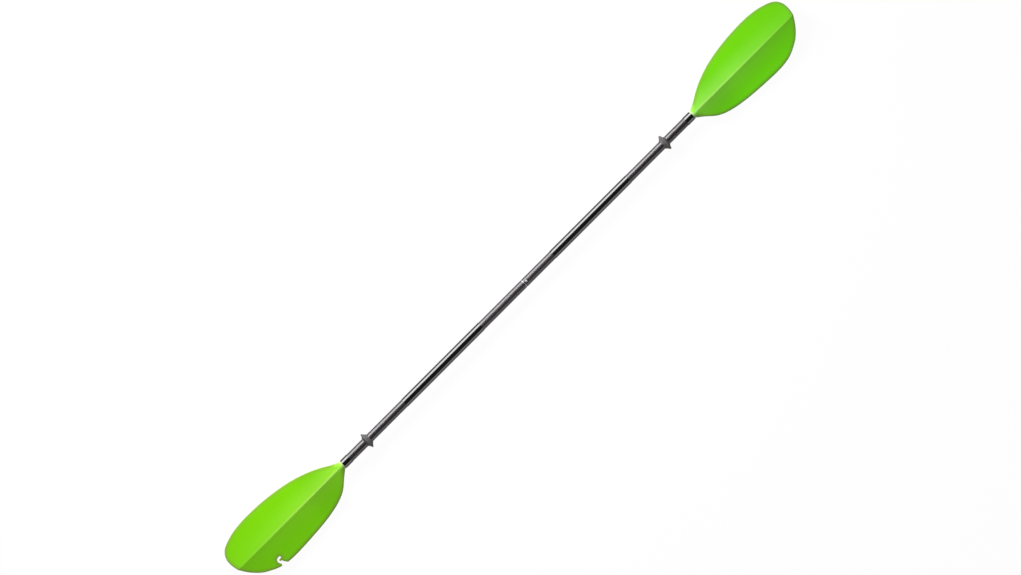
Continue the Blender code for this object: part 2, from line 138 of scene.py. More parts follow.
def drawLine(line):
    # one point, extruded from place to place; the new piece is left in edit mode
    deselectAll()
    bpy.ops.mesh.primitive_plane_add(size=0.001, location=line[0])
    piece = bpy.context.object
    applyPlace()
    editMode(piece, "SELECT")
    bpy.ops.mesh.merge(type="CENTER")
    for here, there in zip(line, line[1:]):
        extrudeBy(*(there - here))
    bpy.ops.mesh.select_all(action="SELECT")
    return piece


def turnPiece(name, stations, sides, solid=False):
    # a round piece on the shaft's axis; stations are (x, radius), and the last is the first
    # again where the piece is hollow
    x, radius = stations[0]
    deselectAll()
    bpy.ops.mesh.primitive_circle_add(
        vertices=sides, radius=radius, location=(x, 0, axisZ), rotation=(0, math.pi / 2, 0)
    )
    piece = bpy.context.object
    piece.name = piece.data.name = name
    applyPlace()
    editMode(piece, "SELECT")
    for nextX, nextRadius in stations[1:]:
        extrudeBy(nextX - x, 0, 0)
        if nextRadius != radius:
            grow = nextRadius / radius
            bpy.ops.transform.resize(value=(1, grow, grow), center_override=(nextX, 0, axisZ))
        x, radius = nextX, nextRadius
    bpy.ops.mesh.select_all(action="SELECT")
    bpy.ops.mesh.remove_doubles(threshold=1e-6)
    if solid:
        bpy.ops.mesh.fill_holes(sides=0)
    bpy.ops.mesh.normals_make_consistent(inside=False)
    objectMode()
    return piece


def roundEdges(piece, width, segments=3, angle=30):
    applyModifier(
        piece, "BEVEL", width=width, segments=segments, limit_method="ANGLE",
        angle_limit=math.radians(angle), harden_normals=False,
    )
    activate(piece)
    bpy.ops.object.shade_smooth_by_angle(angle=math.radians(35))


def makeTube(name, node, size):
    low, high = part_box(node)
    outer, bore = size["radius"], size["bore"]
    piece = turnPiece(
        name, [(low.x, bore), (low.x, outer), (high.x, outer), (high.x, bore), (low.x, bore)],
        size["sides"],
    )
    roundEdges(piece, size["edge"])
    return piece


shaftPieces = bpy.data.collections.new("shaftPieces")  # what the long panels shine on


def dress(piece, body, slot, material, *nodes):
    piece.data.materials.clear()
    piece.data.materials.append(material)
    if slot != "blade_nylon":
        shaftPieces.objects.link(piece)
    if body:
        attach(piece, body)
    if nodes:
        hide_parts(*nodes)


# Materials
def addNode(tree, kind, values={}, links={}, **settings):
    node = tree.nodes.new(kind)
    for name, value in settings.items():
        setattr(node, name, value)
    for socket, value in values.items():
        node.inputs[socket].default_value = value
    for socket, source in links.items():
        tree.links.new(source, node.inputs[socket])
    return node


def newMaterial(name, **values):
    material = bpy.data.materials.new(name)
    material.use_nodes = True
    tree = material.node_tree
    shader = tree.nodes["Principled BSDF"]
    for socket, value in values.items():
        shader.inputs[socket.replace("_", " ")].default_value = value
    coords = addNode(tree, "ShaderNodeTexCoord").outputs["Object"]
    return material, tree, shader, coords


def glassFilledNylon(name, colours):
    # Glass-filled nylon, injection moulded in a textured mould: an even satin face with a fine
    # grain, faint clouds where the melt flowed, and a duller line where the rim gets rubbed,
    # darkened further by painted shade. Over this lie a painted sheen along the ridge, painted
    # highlights on the crest and the collar, and painted light on the shaded half's thin edge.
    material, tree, shader, coords = newMaterial(
        name, Roughness=0.34, IOR=1.53, Specular_IOR_Level=0.3
    )
    flow = addNode(  # 70 mm
        tree, "ShaderNodeTexNoise", {"Scale": 14.0, "Detail": 3.0, "Roughness": 0.5},
        {"Vector": coords},
    )
    clouds = addNode(
        tree, "ShaderNodeMix",
        {6: linearColour(colours["shade"]), 7: linearColour(colours["face"])},
        {0: flow.outputs["Fac"]}, data_type="RGBA",
    )
    place = addNode(tree, "ShaderNodeSeparateXYZ", links={0: coords})
    # painted light: brighter towards the edge on the hook's side, which is the shaded half,
    # standing in for light that comes through the sheet where it is thin
    paintedGlow = addNode(
        tree, "ShaderNodeMapRange",
        {"From Min": -0.008, "From Max": -0.076, "To Min": 0.0, "To Max": 1.0},
        {"Value": place.outputs["Y"]},
    )
    # painted sheen: paler along the ridge and near the neck, and most so on the lit half
    fromRidge = addNode(
        tree, "ShaderNodeMath", links={0: place.outputs["Y"]}, operation="ABSOLUTE"
    )
    ridge = addNode(
        tree, "ShaderNodeMapRange",
        {"From Min": 0.0, "From Max": 0.06, "To Min": 1.0, "To Max": 0.0},
        {"Value": fromRidge.outputs[0]}, interpolation_type="SMOOTHSTEP",
    )
    fromMiddle = addNode(
        tree, "ShaderNodeMath", links={0: place.outputs["X"]}, operation="ABSOLUTE"
    )
    neck = addNode(
        tree, "ShaderNodeMapRange",
        {"From Min": 0.80, "From Max": 1.18, "To Min": 1.0, "To Max": 0.15},
        {"Value": fromMiddle.outputs[0]},
    )
    half = addNode(
        tree, "ShaderNodeMapRange",
        {"From Min": -0.004, "From Max": 0.002, "To Min": 0.5, "To Max": 1.0},
        {"Value": place.outputs["Y"]},
    )
    paintedSheen = addNode(
        tree, "ShaderNodeMath", links={0: ridge.outputs[0], 1: neck.outputs[0]},
        operation="MULTIPLY",
    )
    paintedSheen = addNode(
        tree, "ShaderNodeMath", links={0: paintedSheen.outputs[0], 1: half.outputs[0]},
        operation="MULTIPLY",
    )
    # and a painted highlight, palest on the crest itself
    crestHighlight = addNode(
        tree, "ShaderNodeMapRange",
        {"From Min": 0.002, "From Max": 0.006, "To Min": 0.7, "To Max": 0.0},
        {"Value": fromRidge.outputs[0]}, interpolation_type="SMOOTHSTEP",
    )
    crestHighlight = addNode(
        tree, "ShaderNodeMath", links={0: crestHighlight.outputs[0], 1: neck.outputs[0]},
        operation="MULTIPLY",
    )
    # the rim is rubbed, and painted darker still: painted shade that holds down the light on
    # its rounded edge
    rub = addNode(tree, "ShaderNodeAttribute", attribute_name="rimWearAndShade")
    # painted highlight: the collar beside the shaft is made nearly white
    collarHighlight = addNode(
        tree, "ShaderNodeMapRange",
        {"From Min": 0.7560, "From Max": 0.7585, "To Min": 0.85, "To Max": 0.0},
        {"Value": fromMiddle.outputs[0]}, interpolation_type="SMOOTHSTEP",
    )
    body = clouds.outputs[2]
    for share, colour in (
        (paintedGlow.outputs[0], "paintedGlow"), (paintedSheen.outputs[0], "paintedSheen"), (crestHighlight.outputs[0], "crestHighlight"),
        (rub.outputs["Fac"], "rim"), (collarHighlight.outputs[0], "collarHighlight"),
    ):
        body = addNode(
            tree, "ShaderNodeMix", {7: linearColour(colours[colour])}, {0: share, 6: body},
            data_type="RGBA",
        ).outputs[2]
    tree.links.new(body, shader.inputs["Base Color"])
    grain = addNode(  # 1.2 mm, coarser than the mould's, so that it shows
        tree, "ShaderNodeTexNoise", {"Scale": 830.0, "Detail": 2.0}, {"Vector": coords}
    )
    satin = addNode(
        tree, "ShaderNodeMapRange", {"To Min": 0.29, "To Max": 0.40},
        {"Value": grain.outputs["Fac"]},
    )
    tree.links.new(satin.outputs["Result"], shader.inputs["Roughness"])
    bump = addNode(
        tree, "ShaderNodeBump", {"Strength": 0.5, "Distance": 0.0001},
        {"Height": grain.outputs["Fac"]},
    )
    tree.links.new(bump.outputs["Normal"], shader.inputs["Normal"])
    return material


def roundTheShaft(tree, coords, radius):
    # the place on the tube's skin as (length, way round), so that a pattern winds round it
    place = addNode(tree, "ShaderNodeSeparateXYZ", links={0: coords})
    up = addNode(
        tree, "ShaderNodeMath", {1: axisZ}, {0: place.outputs["Z"]}, operation="SUBTRACT"
    )
    angle = addNode(
        tree, "ShaderNodeMath", links={0: place.outputs["Y"], 1: up.outputs[0]}, operation="ARCTAN2"
    )
    way = addNode(
        tree, "ShaderNodeMath", {1: radius}, {0: angle.outputs[0]}, operation="MULTIPLY"
    )
    return addNode(
        tree, "ShaderNodeCombineXYZ", links={"X": place.outputs["X"], "Y": way.outputs[0]}
    ).outputs[0]


def woundFibreglass(name):
    # Fibreglass tube, wound at 45 degrees with black resin and left satin: tows cross as
    # faint diamonds, and the light on it is broad and soft.
    material, tree, shader, coords = newMaterial(
        name, Roughness=0.33, IOR=1.55, Specular_IOR_Level=0.33
    )
    skin = roundTheShaft(tree, coords, shaftRadius)
    towWidth = 0.003166  # metres; twenty tows go into the tube's girth, along 45 degrees
    bands = {
        "Scale": math.pi / 10 / towWidth, "Distortion": 0.6, "Detail": 2.0, "Detail Scale": 3.0,
    }
    tows = []
    for slant in (45, -45):
        turned = addNode(
            tree, "ShaderNodeMapping", {"Rotation": (0, 0, math.radians(slant))}, {"Vector": skin}
        )
        wave = addNode(tree, "ShaderNodeTexWave", bands, {"Vector": turned.outputs[0]})
        tows.append(wave.outputs["Fac"])
    crossing = addNode(
        tree, "ShaderNodeMath", links={0: tows[0], 1: tows[1]}, operation="MAXIMUM"
    )
    streaks = addNode(  # 11 mm
        tree, "ShaderNodeTexNoise", {"Scale": 90.0, "Detail": 3.0}, {"Vector": skin}
    )
    tint = addNode(
        tree, "ShaderNodeMix",
        {6: linearColour("#18151A"), 7: linearColour("#2A2629")},
        {0: streaks.outputs["Fac"]}, data_type="RGBA",
    )
    woven = addNode(
        tree, "ShaderNodeMix", {7: linearColour("#3A3438")},
        {6: tint.outputs[2]}, data_type="RGBA",
    )
    faint = addNode(
        tree, "ShaderNodeMath", {1: 0.35}, {0: crossing.outputs[0]}, operation="MULTIPLY"
    )
    tree.links.new(faint.outputs[0], woven.inputs[0])
    tree.links.new(woven.outputs[2], shader.inputs["Base Color"])
    satin = addNode(
        tree, "ShaderNodeMapRange", {"To Min": 0.28, "To Max": 0.42},
        {"Value": streaks.outputs["Fac"]},
    )
    # hands rub the tube dull at the joint, and it keeps its gloss further out
    along = addNode(tree, "ShaderNodeSeparateXYZ", links={0: coords})
    away = addNode(tree, "ShaderNodeMath", links={0: along.outputs["X"]}, operation="ABSOLUTE")
    rubbed = addNode(
        tree, "ShaderNodeMapRange",
        {"From Min": 0.15, "From Max": 0.45, "To Min": 0.0, "To Max": -0.07},
        {"Value": away.outputs[0]},
    )
    roughness = addNode(
        tree, "ShaderNodeMath", links={0: satin.outputs["Result"], 1: rubbed.outputs["Result"]}
    )
    tree.links.new(roughness.outputs[0], shader.inputs["Roughness"])
    bump = addNode(
        tree, "ShaderNodeBump", {"Strength": 0.5, "Distance": 0.00006},
        {"Height": crossing.outputs[0]},
    )
    tree.links.new(bump.outputs["Normal"], shader.inputs["Normal"])
    return material


def shrunkSleeve(name):
    # Black polyolefin heat-shrink sleeve: smooth as the film it was, so the lamp shows as a
    # hard white line, and it waves a little where the sleeve shrank over the tube.
    material, tree, shader, coords = newMaterial(name, Roughness=0.08, IOR=1.5)
    waves = addNode(  # 18 mm
        tree, "ShaderNodeTexNoise", {"Scale": 55.0, "Detail": 1.0}, {"Vector": coords}
    )
    tint = addNode(
        tree, "ShaderNodeMix", {6: linearColour("#060607"), 7: linearColour("#0E0D0F")},
        {0: waves.outputs["Fac"]}, data_type="RGBA",
    )
    tree.links.new(tint.outputs[2], shader.inputs["Base Color"])
    dust = addNode(  # 2.5 mm
        tree, "ShaderNodeTexNoise", {"Scale": 400.0, "Detail": 3.0}, {"Vector": coords}
    )
    gloss = addNode(
        tree, "ShaderNodeMapRange", {"To Min": 0.05, "To Max": 0.13}, {"Value": dust.outputs["Fac"]}
    )
    tree.links.new(gloss.outputs["Result"], shader.inputs["Roughness"])
    bump = addNode(
        tree, "ShaderNodeBump", {"Strength": 0.4, "Distance": 0.0004},
        {"Height": waves.outputs["Fac"]},
    )
    tree.links.new(bump.outputs["Normal"], shader.inputs["Normal"])
    return material


def mouldedRubber(name):
    # Moulded rubber, dull and a little dusty, with a fine pebble and powdery clouds.
    material, tree, shader, coords = newMaterial(name, Roughness=0.7, IOR=1.52)
    clouds = addNode(  # 8 mm
        tree, "ShaderNodeTexNoise", {"Scale": 120.0, "Detail": 4.0}, {"Vector": coords}
    )
    tint = addNode(
        tree, "ShaderNodeMix", {6: linearColour("#2A2827"), 7: linearColour("#3E3C3A")},
        {0: clouds.outputs["Fac"]}, data_type="RGBA",
    )
    tree.links.new(tint.outputs[2], shader.inputs["Base Color"])
    pebble = addNode(  # 0.6 mm
        tree, "ShaderNodeTexNoise", {"Scale": 1600.0, "Detail": 2.0}, {"Vector": coords}
    )
    bump = addNode(
        tree, "ShaderNodeBump", {"Strength": 0.4, "Distance": 0.0001},
        {"Height": pebble.outputs["Fac"]},
    )
    tree.links.new(bump.outputs["Normal"], shader.inputs["Normal"])
    return material


def workedMetal(name, dark, pale, roughness, stretch=(1.0, 1.0, 1.0)):
    # Metal with the marks of how it was worked, 1.1 mm over the stretch along each axis.
    material, tree, shader, coords = newMaterial(name, Metallic=1.0, Roughness=roughness)
    drawn = addNode(tree, "ShaderNodeMapping", {"Scale": stretch}, {"Vector": coords})
    lines = addNode(
        tree, "ShaderNodeTexNoise", {"Scale": 900.0, "Detail": 4.0}, {"Vector": drawn.outputs[0]}
    )
    tint = addNode(
        tree, "ShaderNodeMix", {6: linearColour(dark), 7: linearColour(pale)},
        {0: lines.outputs["Fac"]}, data_type="RGBA",
    )
    tree.links.new(tint.outputs[2], shader.inputs["Base Color"])
    rough = addNode(
        tree, "ShaderNodeMapRange", {"To Min": roughness - 0.08, "To Max": roughness + 0.1},
        {"Value": lines.outputs["Fac"]},
    )
    tree.links.new(rough.outputs["Result"], shader.inputs["Roughness"])
    bump = addNode(
        tree, "ShaderNodeBump", {"Strength": 0.3, "Distance": 0.00003},
        {"Height": lines.outputs["Fac"]},
    )
    tree.links.new(bump.outputs["Normal"], shader.inputs["Normal"])
    return material


def closedCellFoam(name):
    # Polyethylene foam, cut: matt, with cells of about 0.8 mm.
    material, tree, shader, coords = newMaterial(name, Roughness=0.9)
    cells = addNode(tree, "ShaderNodeTexVoronoi", {"Scale": 1250.0}, {"Vector": coords})
    tint = addNode(
        tree, "ShaderNodeMix", {6: linearColour("#C9C6BE"), 7: linearColour("#E9E7E1")},
        {0: cells.outputs["Distance"]}, data_type="RGBA",
    )
    tree.links.new(tint.outputs[2], shader.inputs["Base Color"])
    bump = addNode(
        tree, "ShaderNodeBump", {"Strength": 0.6, "Distance": 0.0002},
        {"Height": cells.outputs["Distance"]},
    )
    tree.links.new(bump.outputs["Normal"], shader.inputs["Normal"])
    return material


def mouldedPlastic(name):
    # Black polyethylene, moulded: satin, with a faint orange peel.
    material, tree, shader, coords = newMaterial(name, Roughness=0.45, IOR=1.5)
    peel = addNode(  # 1.4 mm
        tree, "ShaderNodeTexNoise", {"Scale": 700.0, "Detail": 2.0}, {"Vector": coords}
    )
    tint = addNode(
        tree, "ShaderNodeMix", {6: linearColour("#141416"), 7: linearColour("#1E1E20")},
        {0: peel.outputs["Fac"]}, data_type="RGBA",
    )
    tree.links.new(tint.outputs[2], shader.inputs["Base Color"])
    bump = addNode(
        tree, "ShaderNodeBump", {"Strength": 0.3, "Distance": 0.0001},
        {"Height": peel.outputs["Fac"]},
    )
    tree.links.new(bump.outputs["Normal"], shader.inputs["Normal"])
    return material


# each blade's colours: the flow clouds' two tones, then painted light on the shaded half's thin
# edge, a painted sheen, painted highlights on the crest and the collar, and the rubbed rim,
# darkened further as painted shade
hookNylon = glassFilledNylon(
    "hookBladeNylon",
    {
        "face": "#80DB05", "shade": "#7AD402", "paintedGlow": "#7EDE03", "paintedSheen": "#92E034",
        "crestHighlight": "#B2EE60", "rim": "#88AA3C", "collarHighlight": "#C2D89A",
    },
)
plainNylon = glassFilledNylon(
    "plainBladeNylon",
    {
        "face": "#74DA0C", "shade": "#6ED206", "paintedGlow": "#76ED09", "paintedSheen": "#8EE04A",
        "crestHighlight": "#AEEE6C", "rim": "#80AA40", "collarHighlight": "#BED8A4",
    },
)
tubeFibreglass = woundFibreglass("woundFibreglass")
gripSleeve = shrunkSleeve("shrunkGripSleeve")
endBandFilm = shrunkSleeve("shrunkEndBand")
ringRubber = mouldedRubber("mouldedRubber")
# Aluminium tube, turned on a lathe: a soft grey with fine rings round it.
ferruleMetal = workedMetal("turnedAluminium", "#706E73", "#87858B", 0.5, (4.0, 0.3, 0.3))
# Stainless steel, pressed by many thumbs: scratched all ways, so it is even and dull.
buttonSteel = workedMetal("brushedSteel", "#6C686B", "#827E81", 0.62)
# Spring steel strip, rolled: brighter, with lines along the strip.
clipSteel = workedMetal("springSteel", "#8C8A8C", "#B4B1B2", 0.32, (0.1, 3.0, 3.0))
plugFoam = closedCellFoam("closedCellFoam")
bungPlastic = mouldedPlastic("mouldedPlastic")
print("materials made")


# Blades: the node's own loft, merged back to quads and subdivided
blade = {
    "levels": 2,
    "ridgeCrease": 0.7,
    "ridgeStart": 0.768,  # from the middle of the shaft
    "ridgeEase": 0.05,  # the length in which the crest starts to lean
    "ridgeShift": 0.0020,  # the crest leans this far towards the hook's side
    "rimCrease": 0.32,
    "collarCrease": 0.5,
    "collarEnd": 0.7575,
    "onLine": 1e-5,  # points this close to a line are on it
    "rimNormal": 0.55,  # where the skin's normal rises less than this, it is the rim
    "neckWidth": 0.016,  # but not the neck's round flanks, this near the ridge
    "neckEnd": 1.1,
    "rubAndShadeReach": 0.014,  # how far the rubbed and painted-shade line reaches in
    "rubFade": 1.5,
}


def refineBlade(name, node):
    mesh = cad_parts[node].data.copy()
    piece = bpy.data.objects.new(name, mesh)
    bpy.context.scene.collection.objects.link(piece)
    editMode(piece, "SELECT")
    bpy.ops.mesh.remove_doubles(threshold=1e-6)
    bpy.ops.mesh.customdata_custom_splitnormals_clear()
    # the loft's quads are bent and long, so the limits are wide
    bpy.ops.mesh.tris_convert_to_quads(
        face_threshold=math.radians(60), shape_threshold=math.radians(120)
    )
    bpy.ops.mesh.select_mode(type="EDGE")
    bpy.ops.mesh.select_all(action="DESELECT")
    bpy.ops.mesh.edges_select_sharp(sharpness=math.radians(80))
    bpy.ops.transform.edge_crease(value=blade["rimCrease"])
    bpy.ops.mesh.select_all(action="DESELECT")
    objectMode()
    near = blade["onLine"]
    onRidge = [
        abs(point.co.y) < near and point.co.x > blade["ridgeStart"] and point.normal.z > 0
        for point in piece.data.vertices
    ]
    selectEdges(piece, lambda a, b: onRidge[a.index] and onRidge[b.index])
    bpy.ops.object.mode_set(mode="EDIT")
    bpy.ops.transform.edge_crease(value=blade["ridgeCrease"])
    bpy.ops.mesh.select_all(action="DESELECT")
    objectMode()
    for point in piece.data.vertices:
        if onRidge[point.index]:
            eased = min(1.0, (point.co.x - blade["ridgeStart"]) / blade["ridgeEase"])
            point.co.y -= blade["ridgeShift"] * eased
    selectEdges(
        piece,
        lambda a, b: abs(a.co.x - b.co.x) < near and max(a.co.x, b.co.x) < blade["collarEnd"],
    )
    bpy.ops.object.mode_set(mode="EDIT")
    bpy.ops.transform.edge_crease(value=blade["collarCrease"])
    objectMode()
    applyModifier(
        piece, "SUBSURF", levels=blade["levels"], render_levels=blade["levels"],
        use_limit_surface=False,
    )
    return piece


def mirrorBlade(piece, name):
    activate(piece)
    bpy.ops.object.duplicate()
    mirrored = bpy.context.object
    mirrored.name = mirrored.data.name = name
    editMode(mirrored, "SELECT")
    bpy.ops.transform.resize(value=(-1, 1, 1), center_override=(0, 0, 0))
    bpy.ops.mesh.normals_make_consistent(inside=False)
    objectMode()
    return mirrored


def markRim(piece):
    # how near each point is to the blade's edge, for the material's rubbed rim and the painted
    # shade on it
    points = piece.data.vertices
    rim = [
        v.co for v in points
        if abs(v.normal.z) < blade["rimNormal"]
        and (abs(v.co.y) > blade["neckWidth"] or abs(v.co.x) > blade["neckEnd"])
    ]
    tree = KDTree(len(rim))
    for i, place in enumerate(rim):
        tree.insert(place, i)
    tree.balance()
    wearAndShade = piece.data.attributes.new("rimWearAndShade", "FLOAT", "POINT")
    for i, v in enumerate(points):
        onCollar = abs(v.co.x) <= blade["collarEnd"]
        away = 1.0 if onCollar else tree.find(v.co)[2] / blade["rubAndShadeReach"]
        wearAndShade.data[i].value = max(0.0, 1.0 - away) ** blade["rubFade"]


# The hook: a round finger with a slot that runs behind it
hook = {
    "middle": (-1.0865, -0.06904),  # of the finger's round end
    "inset": 0.0196,
    "finger": 0.0034,
    "slot": 0.0066,
    "reach": 0.0072,
    "mouth": 0.0178,
    "edge": 0.0004,
    "around": (0.016, -0.0178, 0.014),  # its edges lie within this, to each side, below, above
    "cutter": (0.005, 0.06),  # its lower end over the floor, and its height
}


def arcPoints(radius, start, end, steps):
    angles = [math.radians(start + (end - start) * i / steps) for i in range(steps + 1)]
    return [(radius * math.cos(a), radius * math.sin(a)) for a in angles]


def hookLine():
    # from one lip of the mouth round the finger to the slot's end, and back outside it to
    # the other lip, then closed beyond the blade's edge
    finger, outer = hook["finger"], hook["finger"] + hook["slot"]
    inset, reach, corner = hook["inset"], hook["reach"], hook["slot"] / 5
    lip = hook["mouth"] / 2
    return [
        (-lip - 3 * corner, -inset * 1.1),
        (-lip - corner, -inset * 0.95),
        (-lip, -inset * 0.86),
        (-finger * 1.4, -inset * 0.52),
        *arcPoints(finger, -120, 90, 20),
        (corner - reach, finger),
        (-reach, finger + corner),
        (-reach, outer - corner),
        (corner - reach, outer),
        *arcPoints(outer, 90, -22, 20),
        (lip - 2 * corner, -inset * 0.50),
        (lip - 2 * corner, -inset * 0.64),
        (lip, -inset * 0.88),
        (lip + corner / 2, -inset * 1.1),
        (lip + corner / 2, -inset * 1.6),
        (-lip - 3 * corner, -inset * 1.6),
    ]


def cutHook(piece):
    middleX, middleY = hook["middle"]
    bottom, height = hook["cutter"]
    cutter = drawLine([Vector((middleX - x, middleY + y, bottom)) for x, y in hookLine()])
    bpy.ops.mesh.edge_face_add()
    extrudeBy(0, 0, height)
    bpy.ops.mesh.select_all(action="SELECT")
    bpy.ops.mesh.normals_make_consistent(inside=False)
    objectMode()
    cutAway(piece, cutter)
    # only the cut's sharp edges that lie flat are beveled
    editMode(piece, kind="EDGE")
    bpy.ops.mesh.edges_select_sharp(sharpness=math.radians(50))
    objectMode()
    wide, below, above = hook["around"]
    for edge in piece.data.edges:
        a, b = (piece.data.vertices[i].co for i in edge.vertices)
        near = all(
            abs(p.x - middleX) < wide and middleY + below < p.y < middleY + above for p in (a, b)
        )
        edge.select = edge.select and near and abs(a.z - b.z) < 0.8 * (a - b).length
    bpy.ops.object.mode_set(mode="EDIT")
    bpy.ops.mesh.bevel(offset=hook["edge"], segments=2, clamp_overlap=True)
    objectMode()


plainBlade = refineBlade("plainBladePiece", "plain_blade")
hookBlade = mirrorBlade(plainBlade, "hookBladePiece")
cutHook(hookBlade)
for piece, body, material, node in (
    (plainBlade, "female_half", plainNylon, "plain_blade"),
    (hookBlade, "male_half", hookNylon, "hook_blade"),
):
    markRim(piece)
    activate(piece)
    bpy.ops.object.shade_smooth_by_angle(angle=math.radians(45))
    dress(piece, body, "blade_nylon", material, node)
print("blades:", len(plainBlade.data.polygons), "and", len(hookBlade.data.polygons), "faces")


# Tubes of the shaft
tube = {"radius": shaftRadius, "bore": 0.01265, "sides": 96, "edge": 0.0004}
holes = {"radius": 0.0042, "angles": (-60, 0, 60), "sides": 48}


def drillHoles(piece, angles):
    # the drill's middle is on the tube's skin
    for angle in angles:
        deselectAll()
        bpy.ops.mesh.primitive_cylinder_add(
            vertices=holes["sides"], radius=holes["radius"], depth=shaftRadius
        )
        drill = bpy.context.object
        turn = math.radians(angle)
        drill.location = (
            buttonX, -shaftRadius * math.sin(turn), axisZ + shaftRadius * math.cos(turn)
        )
        drill.rotation_euler = (turn, 0, 0)
        applyPlace()
        cutAway(piece, drill)
    editMode(piece, "SELECT")
    bpy.ops.mesh.remove_doubles(threshold=2e-6)
    objectMode()


for name, node, body in (
    ("maleTubePiece", "male_tube", "male_half"), ("femaleTubePiece", "female_tube", "female_half")
):
    piece = makeTube(name, node, tube)
    if body == "female_half":
        drillHoles(piece, holes["angles"])
        bpy.ops.object.shade_smooth_by_angle(angle=math.radians(35))
    dress(piece, body, "shaft_fibreglass", tubeFibreglass, node)
print("tubes made")


# Sleeves and end bands shrunk over the tubes
sleeve = {"radius": 0.01515, "bore": 0.01455, "sides": 96, "edge": 0.00025}
sleeves = (
    ("maleGripSleeve", "male_grip_sleeve", "male_half", "gloss_sleeve", gripSleeve),
    ("femaleGripSleeve", "female_grip_sleeve", "female_half", "gloss_sleeve", gripSleeve),
    ("hookEndBand", "hook_end_band", "male_half", "gloss_band", endBandFilm),
    ("plainEndBand", "plain_end_band", "female_half", "gloss_band", endBandFilm),
)
for name, node, body, slot, material in sleeves:
    dress(makeTube(name, node, sleeve), body, slot, material, node)
print("sleeves and bands made")


# Ferrule with the shoulder that both tubes stop at, and its bung
ferrule = {
    "radius": 0.01235, "bore": 0.01075, "sides": 96, "lead": 0.0008, "edge": 0.0002,
    "shoulder": 0.0137,  # a little below the tubes' skin
}
bung = {
    "cap": 0.0015, "lead": 0.0015, "sides": 64, "edge": 0.0003,
    "grooves": (0.0040, 0.0080), "groove": 0.0016, "depth": 0.0004,
    "dish": (0.55, 0.5),  # the hollow in the cap, at its rim and bottom, over the cap's radius
}


def makeFerrule():
    low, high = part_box("ferrule")
    maleEnd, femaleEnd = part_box("male_tube")[1].x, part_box("female_tube")[0].x
    joint, half = (maleEnd + femaleEnd) / 2, (femaleEnd - maleEnd) / 2 - clearance
    radius, bore, lead = ferrule["radius"], ferrule["bore"], ferrule["lead"]
    shoulder = ferrule["shoulder"]
    piece = turnPiece(
        "ferrulePiece",
        [
            (low.x, bore), (low.x, radius), (joint - half, radius), (joint - half, shoulder),
            (joint + half, shoulder), (joint + half, radius), (high.x - 2 * lead, radius),
            (high.x, radius - lead), (high.x, bore), (low.x, bore),
        ],
        ferrule["sides"],
    )
    drillHoles(piece, (0,))
    roundEdges(piece, ferrule["edge"], 2, 25)
    dress(piece, "male_half", "ferrule_aluminium", ferruleMetal, "ferrule")


def makeBung():
    low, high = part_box("ferrule_bung")
    plug = ferrule["bore"] - clearance
    cap = ferrule["radius"] - ferrule["lead"]
    flange, depth = high.x - bung["cap"], bung["depth"]
    stations = [(low.x, plug - bung["lead"]), (low.x + bung["lead"], plug)]
    for start in bung["grooves"]:
        near, far = low.x + start, low.x + start + bung["groove"]
        stations += [
            (near, plug), (near + depth, plug - depth), (far - depth, plug - depth), (far, plug)
        ]
    stations += [(flange, plug), (flange, cap), (high.x, cap)]
    rim, bottom = bung["dish"]
    stations += [(high.x, cap * rim), (high.x - depth, cap * bottom)]
    piece = turnPiece("bungPiece", stations, bung["sides"], solid=True)
    roundEdges(piece, bung["edge"], 2, 40)
    dress(piece, "joint_core", "bung_plastic", bungPlastic, "ferrule_bung")


makeFerrule()
makeBung()
print("joint made")


# Snap button: a domed pin with its rivet, standing on the clip
button = {
    "radius": 0.0039, "stem": 0.0016, "sides": 48,
    "rivet": (1.4, 1.7),  # radius at its end and under the strip, over the stem's
    "under": 0.008778, "over": 0.009978,  # heights over the shaft's axis, with the strip between
    "dome": 0.42,  # height over radius
}


def makeButton():
    low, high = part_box("snap_button")
    radius, stem = button["radius"], button["stem"]
    rivetEnd, rivetHead = (stem * wider for wider in button["rivet"])
    under, over = axisZ + button["under"], axisZ + button["over"]
    deselectAll()
    bpy.ops.mesh.primitive_circle_add(
        vertices=button["sides"], radius=rivetEnd, location=(buttonX, 0, low.z)
    )
    piece = bpy.context.object
    piece.name = piece.data.name = "buttonPiece"
    applyPlace()
    editMode(piece, "SELECT")
    rises = [i * math.pi / 20 for i in range(10)]
    height = radius * button["dome"]
    dome = [(radius * math.cos(a), high.z - height * (1 - math.sin(a))) for a in rises]
    stations = [(rivetHead, under), (stem, under), (stem, over), (radius, over), *dome]
    z, wide = low.z, rivetEnd
    for nextWide, nextZ in stations:
        extrudeBy(0, 0, nextZ - z)
        grow = nextWide / wide
        bpy.ops.transform.resize(value=(grow, grow, 1), center_override=(buttonX, 0, nextZ))
        z, wide = nextZ, nextWide
    bpy.ops.mesh.select_all(action="SELECT")
    bpy.ops.mesh.fill_holes(sides=0)
    bpy.ops.mesh.normals_make_consistent(inside=False)
    objectMode()
    activate(piece)
    bpy.ops.object.shade_smooth_by_angle(angle=math.radians(40))
    dress(piece, "button", "button_steel", buttonSteel, "snap_button")


makeButton()
print("button made")


# Clip: a spring strip bent into a V, whose upper leaf goes down with the button
clip = {
    "strip": 0.0006, "width": 0.008, "bend": 0.0030, "tail": 0.0065, "rivetHole": 0.0019,
    "leafCuts": 8, "bendCuts": 20, "edge": 0.00012, "drill": 0.004,
}


